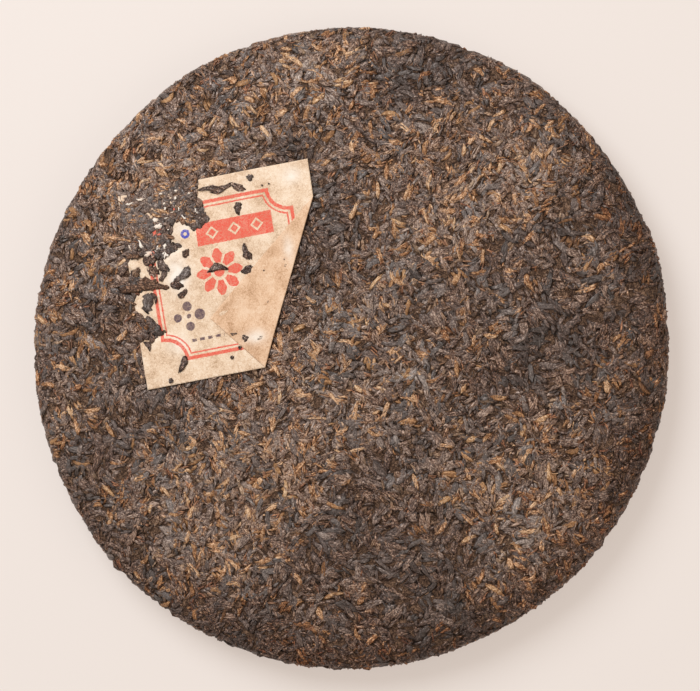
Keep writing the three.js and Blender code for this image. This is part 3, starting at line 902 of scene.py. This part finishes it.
# The golden tips
# Leaf buds, which stay golden to orange-brown while the leaf ferments: plump crescents, small leaves and
# fine tips, lighter than the rest. Most are strewn over the front last, so they lie nearest to the top.
golden = leaf_material(
    "golden leaf bud",
    [(0.0, (0.10, 0.045, 0.020)), (0.35, (0.30, 0.150, 0.064)), (0.7, (0.50, 0.280, 0.130)),
     (1.0, (0.85, 0.63, 0.42))],
    [(0.0, (0.11, 0.038, 0.016)), (0.35, (0.34, 0.132, 0.054)), (0.7, (0.55, 0.255, 0.110)),
     (1.0, (0.88, 0.56, 0.34))], 0.5, 0.4, 1.0, 0.85)
lay_leaf("golden_leaf_front", golden, 43, 500, (5, 4), (2.4, 5.6), (0.8, 1.6), (0.3, 0.5), (0.05, 0.22),
         end=front_end, strips=5, bend=0.12, flush=0.2, patchy=0.8)
lay_leaf("golden_bud_front", golden, 44, 520, (6, 6), (3.6, 7.2), (1.1, 2.2), (0.35, 0.55), (0.15, 0.3),
         end=front_end, bend=0.1, flush=0.28, patchy=0.6, lighter=0.12)
lay_leaf("golden_tip_front", golden, 41, 1150, 3, (1.0, 3.2), (0.4, 0.9), (0.3, 0.5), (0.0, 0.25),
         end=front_end, strips=2, bend=0.12, flush=0.2, patchy=0.8)
lay_leaf("golden_leaf_back", golden, 42, 260, (5, 4), (2.6, 5.5), (0.8, 1.6), (0.3, 0.5), (-0.1, 0.2),
         start=front_end, strips=6, bend=0.12, flush=0.1, patchy=0.9)

# The leaf on the ticket
# Single bits that slid onto the open paper before pressing, each where it lies: across and up from the
# cake's middle, length and width in millimetres, turn in degrees, then its tone and its warmth.
dark_bits = [
    (-37.8, 48.9, 7.2, 1.7, 21, 0.2, 0.8), (-32.5, 49.2, 5.2, 1.7, -25, 0.3, 0.8),
    (-41.9, 48.8, 6.4, 1.4, 7, 0.2, 0.6), (-32.2, 42.5, 4.0, 2.3, 81, 0.1, 0.6),
    (-28.7, 52.0, 2.2, 1.8, 34, 0.1, 0.3), (-29.3, 28.9, 5.4, 2.2, -67, 0.2, 0.7),
    (-29.4, 23.3, 3.7, 2.2, 27, 0.1, 0.6), (-38.6, 23.2, 6.4, 1.8, 7, 0.2, 0.5),
    (-49.7, -5.7, 5.6, 1.7, 67, 0.1, 0.7), (-33.4, 3.6, 2.4, 1.0, 14, 0.2, 0.6),
    (-29.8, 2.2, 2.5, 2.1, -30, 0.1, 0.4), (-24.9, 2.1, 2.5, 0.8, 34, 0.1, 0.6),
    (-53.4, -10.8, 1.6, 1.3, 18, 0.1, 0.6), (-61.2, 0.0, 3.5, 1.4, -54, 0.2, 0.6),
    (-33.9, -3.8, 1.2, 1.0, 0, 0.1, 0.5), (-31.5, -0.7, 1.1, 0.9, 0, 0.1, 0.5),
    (-22.4, 13.1, 0.9, 0.6, 90, 0.1, 0.5), (-17.3, 24.3, 0.9, 0.8, 0, 0.1, 0.5),
    (-17.6, 26.2, 0.7, 0.6, 0, 0.1, 0.5), (-24.0, 22.9, 0.7, 0.6, 0, 0.1, 0.5),
    (-25.0, 49.4, 0.6, 0.5, 0, 0.1, 0.5), (-22.8, 49.8, 0.6, 0.5, 0, 0.1, 0.5),
    (-55.9, 25.3, 5.2, 2.5, -51, 0.25, 0.4), (-56.3, 21.8, 4.0, 2.0, 68, 0.30, 0.5),
    (-49.5, 22.6, 5.3, 2.2, 44, 0.40, 0.1), (-51.4, 20.3, 2.9, 1.4, 18, 0.30, 0.3),
    (-51.9, 18.8, 4.5, 2.5, -6, 0.0, 0.9), (-49.8, 16.3, 4.1, 2.6, 38, 0.1, 0.8),
    (-60.8, 13.4, 6.5, 3.4, 82, 0.35, 0.1), (-59.2, 14.9, 3.5, 1.2, -69, 0.1, 1.0),
    (-60.6, 26.8, 4.2, 2.5, -6, 0.15, 0.8), (-59.3, 23.6, 4.6, 2.8, -35, 0.3, 0.9),
    (-57.9, 28.3, 2.9, 2.5, -39, 0.15, 0.2)]
brown_bits = [
    (-61.2, 19.8, 6.9, 3.4, -13, 0.2, 0.7), (-57.2, 18.3, 7.8, 1.7, -7, 0.1, 0.8),
    (-66.3, 18.0, 8.5, 2.2, 6, 0.1, 0.7), (-66.2, 28.2, 5.2, 1.5, -4, 0.3, 0.7),
    (-64.8, 23.0, 3.4, 1.9, 54, 0.35, 0.3), (-48.8, 28.5, 3.1, 2.2, 62, 0.15, 0.4),
    (-61.5, 19.0, 2.6, 1.2, -30, 0.1, 0.9)]


def lay_bits(name, material, seed, bits):
    """Lays single ragged blades of leaf on the paper, each where its row says."""
    columns, rows = 7, 7
    crumple = 0.24 * MM
    ragged = 1.9
    height = 0.75 * MM
    draw = np.random.default_rng(seed)
    x, y, long, wide, turn, tone, warmth = np.array(bits, float).T
    count = len(bits)
    long, wide = long * MM, wide * MM
    points, share_along, share_across = blade_bodies(
        draw, count, columns, rows, long, wide * 1.2, 0.25 * MM + 0.12 * wide,
        draw.normal(0, 0.1, count), crumple, ragged)
    angle = np.arctan2(y, x)
    placed = press_onto_cake(
        points, down_front(np.hypot(x, y) * MM), angle, np.radians(turn) - angle, np.full(count, height),
        np.zeros(count), np.zeros(count), np.full(count, 0.9 * MM), np.full(count, True))
    join_leaves(name, material, placed, share_along, share_across, tone, warmth,
                blade_faces(columns, rows), long, wide)


lay_bits("dark_leaf_on_ticket", slate, 51, dark_bits)
lay_bits("brown_leaf_on_ticket", brown, 52, brown_bits)

# The torn scraps
# Flecks of the ticket's paper that tore off as the leaf ran over its left side, and lie among it: across
# and up from the ticket's middle, half their length and width, turn in degrees, and how much print shows.
torn_scraps = [
    (-27.3, 27.6, 0.8, 0.6, 10, 0), (-23.7, 28.3, 1.3, 0.5, 0, 0), (-16.8, 28.8, 0.4, 0.4, -10, 0),
    (-16.0, 25.5, 0.4, 0.3, 50, 0), (-16.1, 23.9, 0.4, 0.4, -10, 0), (-11.8, 28.6, 0.5, 0.3, -10, 0),
    (-12.3, 26.5, 0.3, 0.5, -10, 0), (-7.8, 27.2, 0.6, 0.3, 20, 0), (-19.7, 20.8, 0.8, 0.9, 30, 0),
    (-19.2, 18.7, 1.1, 0.8, 20, 0), (-16.2, 20.9, 0.6, 0.2, 10, 0), (-14.1, 22.0, 0.3, 0.6, -10, 0),
    (-10.4, 19.7, 0.9, 0.3, -55, 0), (-6.4, 21.1, 0.3, 0.8, 15, 0), (-29.2, 14.0, 0.3, 0.8, 5, 0),
    (-25.4, 14.1, 1.6, 0.4, -75, 0), (-17.9, 12.3, 0.5, 0.7, -10, 0), (-23.5, 10.8, 1.5, 0.6, 0, 0),
    (-22.1, 10.7, 0.9, 1.1, 50, 0.7), (-20.5, 11.5, 0.5, 1.1, -30, 0), (-18.2, 9.6, 0.7, 0.9, -10, 0),
    (-19.1, 16.2, 0.5, 0.4, 30, 0.9), (-11.8, 22.9, 0.3, 0.4, -10, 0), (-16.0, 17.3, 0.3, 0.3, -10, 0)]


def lay_scraps():
    """Small torn flecks of paper with ragged corners. The printed ones show the colour of the red bar."""
    corners = 11
    thickness = 0.14 * MM
    bar_u, bar_v = 4.7, 15.8
    draw = np.random.default_rng(55)
    u, v, long, wide, turn, print_share = np.array(torn_scraps).T
    count = len(torn_scraps)
    swing = np.arange(corners) * 2 * math.pi / corners + draw.uniform(-0.2, 0.2, (count, corners))
    torn = draw.uniform(0.4, 1.7, (count, corners))
    a = np.concatenate([np.zeros((count, 1)), np.cos(swing) * torn * long[:, None]], 1) * MM
    b = np.concatenate([np.zeros((count, 1)), np.sin(swing) * torn * wide[:, None]], 1) * MM
    turn = np.radians(turn)[:, None]
    a, b = a * np.cos(turn) - b * np.sin(turn), a * np.sin(turn) + b * np.cos(turn)
    printed = print_share[:, None] > 0
    flat_u = a + np.where(printed, bar_u, u[:, None]) * MM
    flat_v = b + np.where(printed, bar_v, v[:, None]) * MM
    x, y = from_ticket(a + u[:, None] * MM, b + v[:, None] * MM)
    spot = down_front(np.hypot(x, y))
    lift = 0.42 * MM + draw.uniform(-0.22, 0.22, x.shape) * MM
    way = np.arctan2(y, x)
    placed = np.concatenate([on_cake(spot, way, lift), on_cake(spot, way, lift - thickness)], 1)
    after = [(k + 1) % corners for k in range(corners)]
    under = corners + 1
    one = [(0, 1 + k, 1 + after[k]) for k in range(corners)]
    one += [(under, under + 1 + after[k], under + 1 + k) for k in range(corners)]
    for k in range(corners):
        low, high = 1 + k, 1 + after[k]
        one += [(low, under + low, under + high), (low, under + high, high)]
    each = 2 * under
    faces = (np.arange(count)[:, None, None] * each + np.array(one)).reshape(-1, 3)
    mesh = bpy.data.meshes.new("paper_scraps")
    mesh.from_pydata(placed.reshape(-1, 3).tolist(), [], faces.tolist())
    give_values(mesh, "printed", np.repeat(print_share, each))
    give_values(mesh, "pale_wear_and_glare", np.repeat(1.2 - print_share, each))
    flat = np.tile(np.stack([flat_u, flat_v], -1), (1, 2, 1)).reshape(-1, 2)
    give_map(mesh, "flat", flat / MM, faces)
    give_map(mesh, "OFBake", flat / ticket_side + 0.5, faces)
    mesh.shade_smooth()
    mesh.materials.append(rice_paper)
    scraps = put_in_scene("paper_scraps", mesh)
    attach(scraps, "root")


lay_scraps()

# The floor, the light and the camera
# A plain pale floor that glows a little, a large soft light from the upper left with a weaker, warmer one
# from the right, and a long lens that looks down on the front from a little to the right and below.
floor_mesh = bpy.data.meshes.new("floor")
floor_half = 1.5
floor_mesh.from_pydata([(-floor_half, -floor_half, 0), (floor_half, -floor_half, 0),
                        (floor_half, floor_half, 0), (-floor_half, floor_half, 0)], [], [(0, 1, 2, 3)])
floor = put_in_scene("floor", floor_mesh)
floor_material, _, _, floor_shader = new_material("pale floor", 0.9, 0.1)
floor_shader.inputs["Base Color"].default_value = (0.37, 0.37, 0.375, 1)
floor_shader.inputs["Emission Color"].default_value = (1.0, 0.855, 0.765, 1)
floor_shader.inputs["Emission Strength"].default_value = 0.50
floor_mesh.materials.append(floor_material)


def soft_light(name, place, size, power, colour):
    """A round soft light that faces the cake."""
    lamp = bpy.data.lights.new(name, "AREA")
    lamp.shape = "DISK"
    lamp.size = size
    lamp.energy = power
    lamp.color = colour
    light = put_in_scene(name, lamp)
    light.location = place
    light.rotation_euler = (-Vector(place)).to_track_quat("-Z", "Y").to_euler()


soft_light("key", (-0.46, 0.62, 0.88), 0.85, 11.2, (1.0, 0.99, 0.985))
soft_light("fill", (0.9, -0.35, 0.8), 1.0, 2.6, (1.0, 0.86, 0.73))
world = bpy.data.worlds.new("studio")
bpy.context.scene.world = world
world.use_nodes = True
world.node_tree.nodes["Background"].inputs["Color"].default_value = (1.0, 0.89, 0.78, 1)
world.node_tree.nodes["Background"].inputs["Strength"].default_value = 0.40
bpy.context.scene.view_settings.view_transform = "Standard"

photo_width, photo_height = 700, 691
cake_in_photo = (348.1, 346.6)
pixels_per_metre = 3226
camera_distance = 1.15
camera_tilt = math.radians(9.9)
tilt_way = Vector((0.934, -0.357, 0))
back = (tilt_way * math.sin(camera_tilt) + Vector((0, 0, math.cos(camera_tilt)))).normalized()
right = Vector((0, 1, 0)).cross(back).normalized()
above = back.cross(right)
lens = bpy.data.cameras.new("camera")
lens.sensor_width = 36
lens.lens = lens.sensor_width * camera_distance * pixels_per_metre / photo_width
lens.clip_start, lens.clip_end = 0.05, 20
camera = put_in_scene("camera", lens)
aim = Vector((cake_middle.x, cake_middle.y, equator_height))
aim -= right * (cake_in_photo[0] - photo_width / 2) / pixels_per_metre
aim += above * (cake_in_photo[1] - photo_height / 2) / pixels_per_metre
camera.matrix_world = Matrix.Translation(aim + back * camera_distance) @ Matrix(
    (right, above, back)).transposed().to_4x4()
bpy.context.scene.camera = camera
